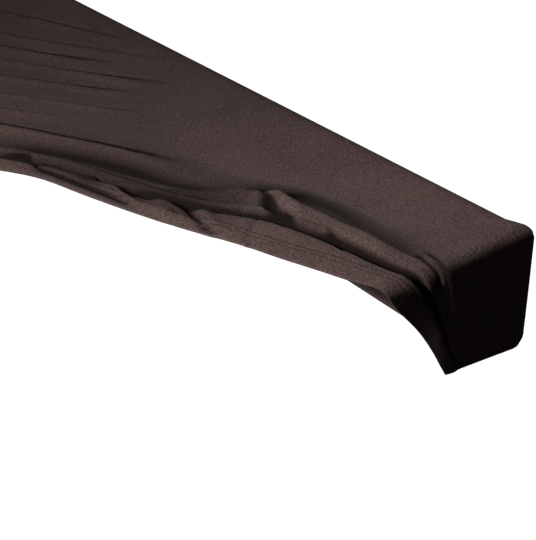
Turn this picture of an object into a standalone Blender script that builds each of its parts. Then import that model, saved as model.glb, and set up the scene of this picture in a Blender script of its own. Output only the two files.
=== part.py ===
"""Fitted stretch cover, hollow underneath, with its front right corner lifted and pushed back.

The cover is one cut of stretch knit with four darted corners and a turned hem. It is modelled in the shape
that it has when it is pulled over a long, shallow form with a level front half and a rising back half.
Units are metres.

Frame: +X runs along the cover to the end with the lifted corner, +Y to its back and +Z up. The origin is on
the underside of the cover's top, at the middle of its plan.

The surface is worked out in three steps.
1. The cloth lies on a flat sheet of "run" coordinates. Over the top a run coordinate is simply x or y, and
   past an edge of the form it goes on as the length of cloth down the wall and then under it.
2. The sheet is crossed by spokes, from the hem to a spine along the top. A spoke's rings follow the folds.
3. Each ring point is wrapped on the form and lifted off it by the height of its fold.
"""

import math
from typing import NamedTuple

import bmesh
import bpy
import numpy as np

MM = 0.001
SMALLEST = 1e-9

# Outer sizes of the cover as it is pulled over its form
LENGTH = 1060 * MM
DEPTH = 324 * MM
CORNER_RADIUS = 8 * MM
TOP_RADIUS = 8 * MM
TOP_RADIUS_BACK = 22 * MM
LOWER_RADIUS = 10 * MM
LOWER_RADIUS_BACK = 22 * MM
TUCK = 24 * MM
THICKNESS = 1.2 * MM

# The top's side view: it falls to the front edge, is level, and rises to the back edge
FRONT_BEND_Y = -102 * MM
FRONT_SLOPE = 0.25
BACK_BEND_Y = 46 * MM
BACK_SLOPE = 0.172
BEND_SOFTNESS = 20 * MM

# The underside, which rises a little to the back
LOWER_Z = -89.0 * MM
LOWER_SLOPE = 0.026

# The core is the plan inside all the edges' bends; near its corners the bends spread along it.
# LEAST_RADIUS keeps the cloth from closing up where a corner turns under
BEND_DEPTH = 22 * MM
BEND_SPREAD = 40 * MM
LEAST_RADIUS = 5 * MM
CORE_X = LENGTH / 2 - BEND_DEPTH
CORE_Y = DEPTH / 2 - BEND_DEPTH

# The spine, where the spokes from the front and from the back meet on the top
SPINE_Y = 118 * MM

# Rings on a spoke: steps of folds from the hem to the brow, each in parts, then rings of the plain top
RING_STEPS = 10
FRONT_PARTS = 2
FRONT_PLAIN_RINGS = 4
BACK_PARTS = 1
BACK_PLAIN_RINGS = 2

# Rings that the hem has passed close up to this distance from each other; the rings of the ridge come sixth
CLOSE_RINGS = 4 * MM
RIDGE_RING = 6

# Heights of the hem, the groove behind its band, the crease behind the folds and the swell behind that
HEM_LIFT = 1.0 * MM
GROOVE_LIFT = 0.4 * MM
CREASE_LIFT = 0.8 * MM
SWELL_LIFT = 3.5 * MM

# Shares: the place and height of the band's crest, where the band ends, where the groove lies between the
# band and the lower fold, and the height half way down behind the ridge
BAND_CREST = 0.55
BAND_CREST_SHARE = 0.85
BAND_END = 0.93
GROOVE_SHARE = 0.40
BEHIND_SHARE = 0.30

# The broad rise behind the ridge: the line of its highest points on the sheet in millimetres, its half
# width, its height, and the share of the line over which it dies out at either end
RISE_LINE = ((334, 16), (364, 32), (394, 42), (428, 47), (463, 50), (493, 56), (516, 66))
RISE_WIDTH = 25 * MM
RISE_LIFT = 8 * MM
RISE_END = 0.3
RISE_POINTS = 48

# Swelling cloth behind the crease: its length, its highest ring's place, most of a spoke in folds
PLAIN_AT = 64 * MM
SWELL_AT = 0.36
MOST_REACH = 0.85

# The lifted corner, section by section along its hem, in millimetres.
# run_x, run_y: the hem's place on the sheet; spine: x of the spoke's inner end
# parts: spokes to the next section; slack: 0 stretched, 1 in full folds
# hold: 1 where the rings behind the ridge stay on the form's edge
# band, band_up: width and height of the hem band
# fold, fold_up: distance of the lower fold from the hem, and its height
# dip: share of that height kept between the lower fold and the ridge
# ridge, ridge_up: distance and height of the upper fold
# crease: distance of the crease behind it; swell: share of the swell
SECTION_COLUMNS = (
    "run_x", "run_y", "spine", "parts", "slack", "hold", "band", "band_up", "fold", "fold_up", "dip",
    "ridge", "ridge_up", "crease", "swell",
)
SHARE_COLUMNS = ("parts", "slack", "hold", "dip", "swell")
SECTIONS = (
    (-55, -267, -80, 2, 0.0, 0.0, 14, 4, 22, 0, 0.6, 34, 0, 46, 0.0),
    (0, -252, -45, 2, 0.0, 0.0, 14, 4, 22, 0, 0.6, 34, 0, 46, 0.0),
    (45, -217, -15, 2, 0.0, 0.0, 14, 4, 22, 1, 0.6, 32, 1, 42, 0.1),
    (80, -184, 15, 3, 0.0, 0.0, 14, 4, 20, 3, 0.6, 29, 3, 37, 0.3),
    (120, -147, 45, 2, 1.0, 0.0, 14, 4, 20, 4, 0.6, 29, 3, 37, 0.7),
    (160, -126, 70, 2, 1.0, 0.0, 13, 4, 21, 6, 0.6, 31, 2, 41, 1.0),
    (197, -107, 100, 2, 1.0, 0.0, 14, 4, 24, 7, 0.6, 34, 1, 44, 1.0),
    (235, -88, 130, 2, 1.0, 0.0, 14, 4, 27, 7, 0.6, 37, 1, 47, 1.0),
    (286, -73, 170, 2, 1.0, 0.0, 15, 4, 31, 7, 0.7, 42, 1, 55, 1.0),
    (328, -59, 220, 2, 1.0, 0.0, 18, 4, 33, 7, 0.8, 45, 2, 58, 0.8),
    (373, -42, 270, 2, 1.0, 0.0, 24, 5, 36, 7, 0.6, 55, 6, 68, 0.4),
    (401, -29, 305, 2, 1.0, 0.0, 30, 6, 42, 7, 0.4, 66, 7, 80, 0.1),
    (426, -18, 345, 2, 1.0, 0.0, 35, 5, 45, 7, 0.7, 62, 7, 80, 0.0),
    (452, -9, 392, 3, 1.0, 0.0, 33, 5, 42, 7, 1.1, 56, 6, 74, 0.0),
    (481, 2, 430, 4, 1.0, 0.0, 27, 5, 35, 7, 1.2, 47, 7, 62, 0.0),
    (512, 14, 455, 4, 1.0, 0.0, 23, 4, 31, 7, 1.3, 42, 8, 57, 0.0),
    (538, 29, 473, 4, 1.0, 0.0, 20, 3, 27, 5, 1.2, 37, 7, 54, 0.0),
    (567, 53, 487, 3, 1.0, 0.0, 16, 3, 22, 3, 0.9, 33, 5, 48, 0.0),
    (590, 68, 496, 2, 1.0, 1.0, 13, 4, 19, 2, 0.8, 29, 3, 42, 0.0),
    (616, 83, 500, 2, 0.7, 1.0, 12, 4, 18, 2, 0.8, 28, 1, 38, 0.0),
    (638, 101, 504, 1, 0.3, 1.0, 12, 4, 18, 0, 0.8, 28, 0, 38, 0.0),
)

# Plain sections of the left end, the front left corner and the front: the place on the core, the turn of
# the spoke in degrees (0 to the left end, 90 to the front), and x of the spine in millimetres
LEFT_SECTIONS = (
    (-CORE_X, 67 * MM, 0, -506),
    (-CORE_X, -38 * MM, 0, -504),
    (-CORE_X, -110 * MM, 0, -502),
    (-CORE_X, -CORE_Y, 0, -500),
    (-CORE_X, -CORE_Y, 30, -498),
    (-CORE_X, -CORE_Y, 60, -496),
    (-CORE_X, -CORE_Y, 90, -483),
    (-485 * MM, -CORE_Y, 90, -458),
    (-425 * MM, -CORE_Y, 90, -400),
    (-350 * MM, -CORE_Y, 90, -325),
    (-270 * MM, -CORE_Y, 90, -250),
    (-190 * MM, -CORE_Y, 90, -180),
    (-120 * MM, -CORE_Y, 90, -128),
)

# The last spoke of the front route on the right end, and the back route's first and last spokes
RIGHT_Y = 122 * MM
RIGHT_SPINE_X = 506 * MM
BACK_LEFT_Y = 108 * MM
BACK_RIGHT_Y = 132 * MM

# The back route's spokes at a corner, by their turn in degrees, and the half length of its straight stretch
CORNER_TURNS = (0, 30, 60, 90)
BACK_HALF = 0.97 * CORE_X

CLOTH_COLOUR = (0.052, 0.041, 0.038, 1.0)
CLOTH_ROUGHNESS = 0.85


def soft_ramp(distance):
    """Zero for a negative distance and the distance itself for a positive one, with a soft bend between."""
    return 0.5 * (distance + np.sqrt(distance * distance + BEND_SOFTNESS * BEND_SOFTNESS))


def top_height(y):
    """Height of the cover's outer top at y."""
    rise = BACK_SLOPE * soft_ramp(y - BACK_BEND_Y)
    fall = FRONT_SLOPE * soft_ramp(FRONT_BEND_Y - y)
    return THICKNESS + rise - fall


def lower_height(y):
    """Height of the cover's outer underside at y."""
    return LOWER_Z + LOWER_SLOPE * y


def edge_lengths(core_y, turn_y):
    """Radii of the two edges, and run lengths from the core to the brow, wall, foot and tuck."""
    to_back = np.clip(turn_y, 0, 1) ** 2
    top_radius = TOP_RADIUS + (TOP_RADIUS_BACK - TOP_RADIUS) * to_back
    lower_radius = LOWER_RADIUS + (LOWER_RADIUS_BACK - LOWER_RADIUS) * to_back
    brow = BEND_DEPTH - top_radius
    height = top_height(core_y + turn_y * brow) - lower_height(core_y + turn_y * BEND_DEPTH)
    top_end = brow + top_radius * math.pi / 2
    wall_end = top_end + height - top_radius - lower_radius
    lower_end = wall_end + lower_radius * math.pi / 2
    return top_radius, lower_radius, brow, top_end, wall_end, lower_end


def spread_core(core, half, shift):
    """Moves core places outward by shift at the core's ends, and not at all away from them."""
    share = np.clip(1 - (half - np.abs(core)) / BEND_SPREAD, 0, 1)
    return core + np.sign(core) * share * shift


def wrap(run_x, run_y):
    """Place of the sheet's points on the form, and the outward normals there, as two arrays of vectors."""
    core_x = np.clip(run_x, -CORE_X, CORE_X)
    core_y = np.clip(run_y, -CORE_Y, CORE_Y)
    past = np.hypot(run_x - core_x, run_y - core_y)
    safe = np.maximum(past, SMALLEST)
    turn_x = (run_x - core_x) / safe
    turn_y = (run_y - core_y) / safe
    top_radius, lower_radius, brow, top_end, wall_end, lower_end = edge_lengths(core_y, turn_y)

    top_angle = np.clip((past - brow) / top_radius, 0, math.pi / 2)
    lower_angle = np.clip((past - wall_end) / lower_radius, 0, math.pi / 2)
    out = np.minimum(past, brow) + top_radius * np.sin(top_angle)
    out = out - lower_radius * (1 - np.cos(lower_angle)) - np.maximum(past - lower_end, 0)
    drop = top_radius * (1 - np.cos(top_angle)) + np.clip(past, top_end, wall_end) - top_end
    drop = drop + lower_radius * np.sin(lower_angle)

    least = np.where(lower_angle > 0, LEAST_RADIUS, 0)
    round_part = np.maximum(np.minimum(out, CORNER_RADIUS), least)
    x = spread_core(core_x, CORE_X, out - round_part) + turn_x * round_part
    y = spread_core(core_y, CORE_Y, out - round_part) + turn_y * round_part
    z = top_height(core_y + turn_y * np.minimum(past, brow)) - drop

    angle = top_angle + lower_angle
    slope = (top_height(y + MM) - top_height(y - MM)) / (2 * MM) * (top_angle == 0)
    normal = np.stack([turn_x * np.sin(angle), turn_y * np.sin(angle) - slope, np.cos(angle)], -1)
    normal /= np.linalg.norm(normal, axis=-1, keepdims=True)
    return np.stack([x, y, z], -1), normal


def curve_through(values, steps):
    """Smooth curve through the rows of values, read at the given whole or part steps along."""
    last = len(values) - 1
    first = np.clip(np.floor(steps).astype(int), 0, last - 1)
    part = (steps - first)[:, None]
    p0, p1, p2, p3 = (values[np.clip(first + shift, 0, last)] for shift in (-1, 0, 1, 2))
    cubic = 2 * p1 + (p2 - p0) * part
    cubic = cubic + (2 * p0 - 5 * p1 + 4 * p2 - p3) * part**2
    cubic = cubic + (3 * p1 - p0 - 3 * p2 + p3) * part**3
    return cubic / 2


def rise_lift(sheet):
    """Height of the broad rise behind the ridge at points of the sheet."""
    steps = np.linspace(0, len(RISE_LINE) - 1, RISE_POINTS)
    line = curve_through(np.array(RISE_LINE, float) * MM, steps)
    gaps = sheet[:, None] - line
    distances = np.hypot(gaps[..., 0], gaps[..., 1])
    place = np.argmin(distances, axis=1) / (RISE_POINTS - 1)
    ends = np.clip(np.minimum(place, 1 - place) / RISE_END, 0, 1)
    ends = ends * ends * (3 - 2 * ends)
    return RISE_LIFT * ends * np.exp(-((distances.min(axis=1) / RISE_WIDTH) ** 2))


class Spoke(NamedTuple):
    """A spoke on the sheet: its hem, brow, inner end, its rings' offsets from the hem and heights."""

    hem: np.ndarray
    brow: np.ndarray
    spine: np.ndarray
    offsets: np.ndarray
    heights: np.ndarray


def ring_places(parts):
    """Places of a spoke's rings, counted in steps, with each step cut in parts."""
    return np.arange(RING_STEPS * parts + 1) / parts


def straight_through(values, places):
    """The values read at the given places, on straight lines between their own."""
    return np.interp(places, np.arange(len(values)), values)


def plain_marks(core_y, turn_y):
    """Run lengths from the core, hem first, of a stretched section's rings."""
    _, _, brow, top_end, wall_end, lower_end = (float(v) for v in edge_lengths(core_y, turn_y))
    tuck = [lower_end + TUCK, lower_end + TUCK / 2]
    lower_bend = list(np.linspace(lower_end, wall_end, 4))
    wall = [(wall_end + top_end) / 2]
    top_bend = list(np.linspace(top_end, brow, 4))
    return np.array(tuck + lower_bend + wall + top_bend)


def climbing_marks(core_y, turn_y, hem_past):
    """The same marks for a hem at hem_past from the core: those that it has passed close up behind it."""
    marks = plain_marks(core_y, turn_y)
    marks[0] = hem_past
    return np.minimum(marks, hem_past - CLOSE_RINGS * np.arange(len(marks)))


def folded_rings(row, room):
    """Distances from the hem and heights of a folded section's rings; room is the length behind."""
    dip = (row["fold"] + row["ridge"]) / 2
    dip_up = row["dip"] * min(row["fold_up"], row["ridge_up"])
    groove = row["band"] + GROOVE_SHARE * (row["fold"] - row["band"])
    behind = (row["ridge"] + row["crease"]) / 2
    points = (
        (0, HEM_LIFT),
        (BAND_CREST * row["band"], BAND_CREST_SHARE * row["band_up"]),
        (BAND_END * row["band"], row["band_up"]),
        (groove, GROOVE_LIFT),
        (row["fold"], row["fold_up"]),
        (dip, dip_up),
        (row["ridge"], row["ridge_up"]),
        (behind, BEHIND_SHARE * row["ridge_up"]),
        (row["crease"], CREASE_LIFT),
        (row["crease"] + SWELL_AT * room, SWELL_LIFT * row["swell"]),
        (row["crease"] + room, 0),
    )
    return np.array(points)


def plain_spoke(core_x, core_y, degrees, sign_x, sign_y, spine_x, parts):
    """A stretched spoke that leaves the core at a turn of degrees from the x axis."""
    turn = math.radians(degrees)
    away = np.array([sign_x * math.cos(turn), sign_y * math.sin(turn)])
    marks = plain_marks(core_y, away[1])
    core = np.array([core_x, core_y])
    offsets = straight_through(marks[0] - marks, ring_places(parts))
    hem = core + away * marks[0]
    spine = np.array([spine_x, SPINE_Y])
    return Spoke(hem, core + away * marks[-1], spine, offsets, np.zeros(len(offsets)))


def folded_spoke(row):
    """A spoke of the lifted corner, worked out from its row of the table of sections."""
    hem = np.array([row["run_x"], row["run_y"]])
    spine = np.array([row["spine"], SPINE_Y])
    length = np.linalg.norm(spine - hem)
    along = (spine - hem) / length
    places = ring_places(FRONT_PARTS)

    reach = min(row["crease"] + PLAIN_AT, MOST_REACH * length)
    folded = curve_through(folded_rings(row, reach - row["crease"]), places)
    offsets, heights = folded[:, 0], folded[:, 1]
    plain = offsets
    if hem[1] < -CORE_Y:
        past = -CORE_Y - hem[1]
        plain = straight_through((past - climbing_marks(-CORE_Y, -1.0, past)) / along[1], places)
    elif hem[0] > CORE_X:
        past = hem[0] - CORE_X
        plain = straight_through((past - climbing_marks(hem[1], 0.0, past)) / -along[0], places)

    slack = float(np.clip(row["slack"], 0, 1))
    behind = np.clip(places - RIDGE_RING, 0, 1) * float(np.clip(row["hold"], 0, 1))
    offsets = plain + slack * (1 - behind) * (offsets - plain)
    return Spoke(hem, hem + along * offsets[-1], spine, offsets, slack * heights)


def lifted_corner_rows():
    """The table of sections in metres, with rows worked out between its own."""
    scale = np.array([1.0 if name in SHARE_COLUMNS else MM for name in SECTION_COLUMNS])
    table = np.array(SECTIONS, float) * scale
    parts = table[:-1, SECTION_COLUMNS.index("parts")].astype(int)
    steps = [index + part / count for index, count in enumerate(parts) for part in range(count)]
    rows = curve_through(table, np.array(steps + [len(table) - 1.0]))
    return [dict(zip(SECTION_COLUMNS, row)) for row in rows]


def front_route():
    """Spokes from the middle of the left end, round the front, to the middle of the right end."""
    spokes = []
    for core_x, core_y, turn, spine in LEFT_SECTIONS:
        spokes.append(plain_spoke(core_x, core_y, turn, -1, -1, spine * MM, FRONT_PARTS))
    spokes += [folded_spoke(row) for row in lifted_corner_rows()]
    spokes.append(plain_spoke(CORE_X, RIGHT_Y, 0, 1, 1, RIGHT_SPINE_X, FRONT_PARTS))
    return spokes


def back_route(front):
    """Spokes of the back, one for each inner spoke of the front route, from left to right."""
    inner = [spoke.spine[0] for spoke in front[1:-1]]
    corner = len(CORNER_TURNS)
    middle = inner[corner + 1 : -corner - 1]
    stretch = 2 * BACK_HALF / (middle[-1] - middle[0])
    places = [(-CORE_X, BACK_LEFT_Y, 0, -1)]
    places += [(-CORE_X, CORE_Y, turn, -1) for turn in CORNER_TURNS]
    places += [((x - middle[0]) * stretch - BACK_HALF, CORE_Y, 90, 1) for x in middle]
    places += [(CORE_X, CORE_Y, turn, 1) for turn in reversed(CORNER_TURNS)]
    places += [(CORE_X, BACK_RIGHT_Y, 0, 1)]
    return [plain_spoke(*place, 1, spine, BACK_PARTS) for place, spine in zip(places, inner)]


def spoke_points(spoke, plain_rings):
    """Points of one spoke in space, from the hem over its rings and the plain top to the spine."""
    outer = spoke.hem + (spoke.brow - spoke.hem) * spoke.offsets[:, None] / spoke.offsets[-1]
    share = np.arange(1, plain_rings + 1)[:, None] / plain_rings
    sheet = np.concatenate([outer, outer[-1] + (spoke.spine - outer[-1]) * share])
    lifts = np.concatenate([spoke.heights, spoke.heights[-1] * (1 - share[:, 0])]) + rise_lift(sheet)
    places, normals = wrap(sheet[:, 0], sheet[:, 1])
    return places + normals * lifts[:, None]


def add_strip(bm, here, there):
    """Joins two neighbouring columns of points, from the hem to the spine, with one strip of faces."""
    for k in range(len(here) - 1):
        bm.faces.new((here[k], there[k], there[k + 1], here[k + 1]))


def add_closing_strip(bm, fine, coarse, turned):
    """Joins a front column to a back one, which has half as many points."""
    for k in range(len(coarse) - 1):
        first, middle, last = fine[2 * k : 2 * k + 3]
        for face in ((first, coarse[k], middle), (middle, coarse[k], coarse[k + 1], last)):
            bm.faces.new(face[::-1] if turned else face)


def cover_mesh():
    """The open outer surface of the cover, from its hem over the walls and the top to the spine."""
    front = front_route()
    back = back_route(front)
    bm = bmesh.new()
    front_points = [spoke_points(spoke, FRONT_PLAIN_RINGS) for spoke in front]
    back_points = [spoke_points(spoke, BACK_PLAIN_RINGS)[:-1] for spoke in back]
    front_columns = [[bm.verts.new(point) for point in points] for points in front_points]
    back_columns = [[bm.verts.new(point) for point in points] for points in back_points]
    for column, neighbour in zip(back_columns, front_columns[1:-1]):
        column.append(neighbour[-1])
    for here, there in zip(front_columns, front_columns[1:]):
        add_strip(bm, here, there)
    for here, there in zip(back_columns, back_columns[1:]):
        add_strip(bm, there, here)
    add_closing_strip(bm, front_columns[-1], back_columns[-1], False)
    add_closing_strip(bm, front_columns[0], back_columns[0], True)
    mesh = bpy.data.meshes.new("cover")
    bm.to_mesh(mesh)
    bm.free()
    mesh.shade_smooth()
    return mesh


def cloth_material():
    """The dark brown-black of the stretch knit."""
    material = bpy.data.materials.new("stretch_knit")
    material.use_nodes = True
    shader = material.node_tree.nodes["Principled BSDF"]
    shader.inputs["Base Color"].default_value = CLOTH_COLOUR
    shader.inputs["Roughness"].default_value = CLOTH_ROUGHNESS
    shader.inputs["Metallic"].default_value = 0.0
    return material


def main():
    """Builds the cover as one object in its own collection."""
    for old in list(bpy.data.objects):
        bpy.data.objects.remove(old)
    collection = bpy.data.collections.new("keyboard_cover")
    bpy.context.scene.collection.children.link(collection)
    cover = bpy.data.objects.new("cover", cover_mesh())
    cover.data.materials.append(cloth_material())
    collection.objects.link(cover)
    wall = cover.modifiers.new("cloth thickness", "SOLIDIFY")
    wall.thickness = THICKNESS
    wall.offset = -1.0


main()
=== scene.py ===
import logging
import math
from dataclasses import dataclass
from enum import Enum
from typing import TypeAlias

import bpy
import numpy as np
from mathutils import Matrix


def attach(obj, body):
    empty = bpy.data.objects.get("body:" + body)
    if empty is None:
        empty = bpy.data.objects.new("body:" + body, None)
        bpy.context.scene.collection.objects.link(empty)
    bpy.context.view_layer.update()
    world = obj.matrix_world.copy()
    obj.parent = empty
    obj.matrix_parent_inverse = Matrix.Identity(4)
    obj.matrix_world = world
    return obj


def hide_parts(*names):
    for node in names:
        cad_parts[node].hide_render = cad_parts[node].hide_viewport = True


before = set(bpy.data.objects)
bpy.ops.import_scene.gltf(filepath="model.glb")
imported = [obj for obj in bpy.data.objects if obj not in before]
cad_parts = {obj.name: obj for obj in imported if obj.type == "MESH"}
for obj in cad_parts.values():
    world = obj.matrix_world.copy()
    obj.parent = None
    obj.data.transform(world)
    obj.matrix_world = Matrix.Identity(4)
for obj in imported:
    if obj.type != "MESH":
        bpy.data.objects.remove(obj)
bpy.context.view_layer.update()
LOG = logging.getLogger("cover")
MM = 0.001
SMALLEST = 1e-9

Pair: TypeAlias = tuple[float, float]
Triple: TypeAlias = tuple[float, float, float]
Colour: TypeAlias = tuple[float, float, float, float]
Marks: TypeAlias = tuple[Pair, ...]
Term: TypeAlias = "Value | float"


class Shape(Enum):
    """Cross-sections that a fold of the cloth can have."""

    SOFT = "soft"
    CREASE = "crease"


@dataclass(frozen=True)
class Form:
    """Outer shape of the pulled-on cover: a level front half, a rising back half, rounded edges and a tucked hem.

    All sizes are in metres. A run coordinate is x or y over the top; past an edge it goes on as the length of cloth
    down the wall and then under it.
    """

    length: float = 1.060
    depth: float = 0.324
    thickness: float = 0.0012
    corner_radius: float = 0.008
    top_radius: float = 0.008
    top_radius_back: float = 0.022
    lower_radius: float = 0.010
    lower_radius_back: float = 0.022
    tuck: float = 0.024
    front_bend_y: float = -0.102
    front_slope: float = 0.25
    back_bend_y: float = 0.046
    back_slope: float = 0.172
    bend_softness: float = 0.020
    lower_z: float = -0.0890
    lower_slope: float = 0.026
    bend_depth: float = 0.022
    bend_spread: float = 0.040
    least_radius: float = 0.005
    least_brow: float = 0.006

    @property
    def core_x(self) -> float:
        """Half length of the plan inside the edges' bends."""
        return self.length / 2 - self.bend_depth

    @property
    def core_y(self) -> float:
        """Half depth of the plan inside the edges' bends."""
        return self.depth / 2 - self.bend_depth

    def soft_ramp(self, distance: np.ndarray) -> np.ndarray:
        """Zero before a bend and the distance past it, with a soft hyperbola between."""
        return 0.5 * (distance + np.sqrt(distance * distance + self.bend_softness**2))

    def top_height(self, y: np.ndarray) -> np.ndarray:
        """Height of the outer top: the level less the front's fall and plus the back's rise.

        Args:
            y: Places from the front to the back.

        Returns:
            The height at each place.
        """
        rise = self.back_slope * self.soft_ramp(y - self.back_bend_y)
        fall = self.front_slope * self.soft_ramp(self.front_bend_y - y)
        return self.thickness + rise - fall

    def lower_height(self, y: np.ndarray) -> np.ndarray:
        """Height of the outer underside at y."""
        return self.lower_z + self.lower_slope * y

    def edge_lengths(self, core_y: np.ndarray, turn_y: np.ndarray) -> tuple[np.ndarray, ...]:
        """Radii of the two edges and the run lengths from the core to each part of the side.

        Args:
            core_y: y of the core's edge under the point.
            turn_y: y part of the direction away from the core.

        Returns:
            Top radius, lower radius, then the run lengths to the brow, the top edge's end, the wall's end and the
            lower edge's end.
        """
        to_back = np.clip(turn_y, 0, 1) ** 2
        top_radius = self.top_radius + (self.top_radius_back - self.top_radius) * to_back
        lower_radius = self.lower_radius + (self.lower_radius_back - self.lower_radius) * to_back
        brow = self.bend_depth - top_radius
        height = self.top_height(core_y + turn_y * brow)
        height = height - self.lower_height(core_y + turn_y * self.bend_depth)
        top_end = brow + top_radius * math.pi / 2
        wall_end = top_end + height - top_radius - lower_radius
        lower_end = wall_end + lower_radius * math.pi / 2
        return top_radius, lower_radius, brow, top_end, wall_end, lower_end

    def spread_core(self, core: np.ndarray, half: float, shift: np.ndarray) -> np.ndarray:
        """The core places, moved outward by shift at the core's ends and not at all away from them."""
        share = np.clip(1 - (half - np.abs(core)) / self.bend_spread, 0, 1)
        return core + np.sign(core) * share * shift

    def wrap(self, run: np.ndarray) -> tuple[np.ndarray, np.ndarray]:
        """Lays points of the flat sheet on the form.

        The distance past the core is spent on the level brow, then on the top edge's quarter turn, the wall, the
        lower edge's quarter turn and the flat tuck; the direction away from the core gives the plan.

        Args:
            run: Run coordinates, an array that ends in 2.

        Returns:
            Places and outward normals, two arrays that end in 3.
        """
        core_x = np.clip(run[..., 0], -self.core_x, self.core_x)
        core_y = np.clip(run[..., 1], -self.core_y, self.core_y)
        past = np.hypot(run[..., 0] - core_x, run[..., 1] - core_y)
        safe = np.maximum(past, SMALLEST)
        turn_x = (run[..., 0] - core_x) / safe
        turn_y = (run[..., 1] - core_y) / safe
        top_radius, lower_radius, brow, top_end, wall_end, lower_end = self.edge_lengths(core_y, turn_y)
        top_angle = np.clip((past - brow) / top_radius, 0, math.pi / 2)
        lower_angle = np.clip((past - wall_end) / lower_radius, 0, math.pi / 2)
        out = np.minimum(past, brow) + top_radius * np.sin(top_angle)
        out = out - lower_radius * (1 - np.cos(lower_angle)) - np.maximum(past - lower_end, 0)
        drop = top_radius * (1 - np.cos(top_angle)) + np.clip(past, top_end, wall_end) - top_end
        drop = drop + lower_radius * np.sin(lower_angle)
        least = np.where(lower_angle > 0, self.least_radius, 0)
        round_part = np.maximum(np.minimum(out, self.corner_radius), least)
        x = self.spread_core(core_x, self.core_x, out - round_part) + turn_x * round_part
        y = self.spread_core(core_y, self.core_y, out - round_part) + turn_y * round_part
        z = self.top_height(core_y + turn_y * np.minimum(past, brow)) - drop
        angle = top_angle + lower_angle
        slope = (self.top_height(y + MM) - self.top_height(y - MM)) / (2 * MM) * (top_angle == 0)
        normal = np.stack([turn_x * np.sin(angle), turn_y * np.sin(angle) - slope, np.cos(angle)], -1)
        normal /= np.linalg.norm(normal, axis=-1, keepdims=True)
        return np.stack([x, y, z], -1), normal


def smooth_rows(values: np.ndarray, steps: np.ndarray) -> np.ndarray:
    """Smooth curve through the rows of an array.

    The curve is the cubic that passes each row with the slope of the chord between that row's neighbours.

    Args:
        values: Rows to pass through.
        steps: Places to read, counted in rows.

    Returns:
        One row for each step.
    """
    last = len(values) - 1
    first = np.clip(np.floor(steps).astype(int), 0, last - 1)
    part = (steps - first).reshape((-1,) + (1,) * (values.ndim - 1))
    p0, p1, p2, p3 = (values[np.clip(first + shift, 0, last)] for shift in (-1, 0, 1, 2))
    cubic = 2 * p1 + (p2 - p0) * part
    cubic = cubic + (2 * p0 - 5 * p1 + 4 * p2 - p3) * part**2
    cubic = cubic + (3 * p1 - p0 - 3 * p2 + p3) * part**3
    return cubic / 2


def straight_rows(values: np.ndarray, steps: np.ndarray) -> np.ndarray:
    """Reads the rows of an array on straight lines between them.

    Args:
        values: Rows to read.
        steps: Places to read, counted in rows.

    Returns:
        One row for each step.
    """
    first = np.clip(np.floor(steps).astype(int), 0, len(values) - 2)
    part = (steps - first).reshape((-1,) + (1,) * (values.ndim - 1))
    return values[first] * (1 - part) + values[first + 1] * part


def pairs(x: np.ndarray | float, y: np.ndarray | float) -> np.ndarray:
    """Two arrays, or an array and a number, side by side: (places, 2)."""
    return np.stack(np.broadcast_arrays(x, y), -1)


def unit(vectors: np.ndarray) -> np.ndarray:
    """The vectors brought to length one."""
    return vectors / np.maximum(np.linalg.norm(vectors, axis=-1, keepdims=True), SMALLEST)


def eased(share: np.ndarray) -> np.ndarray:
    """The share cut to 0 to 1, with a soft start and end."""
    share = np.clip(share, 0, 1)
    return share * share * (3 - 2 * share)


def steps_of(parts: tuple[int, ...]) -> np.ndarray:
    """Places from 0 to len(parts), with step k cut in parts[k] equal parts."""
    cuts = [k + np.arange(count) / count for k, count in enumerate(parts)]
    return np.concatenate(cuts + [[float(len(parts))]])


def gathered(steps: np.ndarray, strength: float) -> np.ndarray:
    """The steps drawn toward the whole numbers, so that the grid is finest at the marks."""
    return steps - strength * np.sin(2 * math.pi * steps)


@dataclass
class Sections:
    """Sections over the cloth, from the hem to the loop round the plain top, each with the same marks.

    tight and slack are the marks' run coordinates where the cloth is stretched and where it lies in folds; lifts are
    the heights of the folds and painted_shade_depths the painted shade in their grooves and shadows, from 0 to 1;
    looseness mixes stretched and slack, from 0 to 1 for each section.
    """

    tight: np.ndarray
    slack: np.ndarray
    lifts: np.ndarray
    painted_shade_depths: np.ndarray
    looseness: np.ndarray

    @classmethod
    def joined(cls, groups: list["Sections"]) -> "Sections":
        """All the groups' sections in order."""
        return cls(*(np.concatenate(arrays) for arrays in zip(*(group.arrays() for group in groups))))

    def arrays(self) -> tuple[np.ndarray, ...]:
        """The five arrays in order."""
        return self.tight, self.slack, self.lifts, self.painted_shade_depths, self.looseness

    def part(self, rows: slice) -> "Sections":
        """Some of the sections, in the slice's order."""
        return Sections(*(array[rows] for array in self.arrays()))

    def rings(self, steps: np.ndarray) -> tuple[np.ndarray, np.ndarray, np.ndarray]:
        """Reads every section at the given steps between its marks.

        Stretched sections are read on straight lines and folded ones on smooth curves.

        Args:
            steps: Places of the rings, counted in marks.

        Returns:
            Run coordinates (sections, rings, 2), heights and painted shade (sections, rings).
        """
        tight = straight_rows(self.tight.swapaxes(0, 1), steps).swapaxes(0, 1)
        slack = smooth_rows(self.slack.swapaxes(0, 1), steps).swapaxes(0, 1)
        lifts = smooth_rows(self.lifts.T, steps).T
        painted_shade_depths = straight_rows(self.painted_shade_depths.T, steps).T
        mix = self.looseness[:, None]
        return tight + (slack - tight) * mix[..., None], lifts * mix, painted_shade_depths * mix


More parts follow.
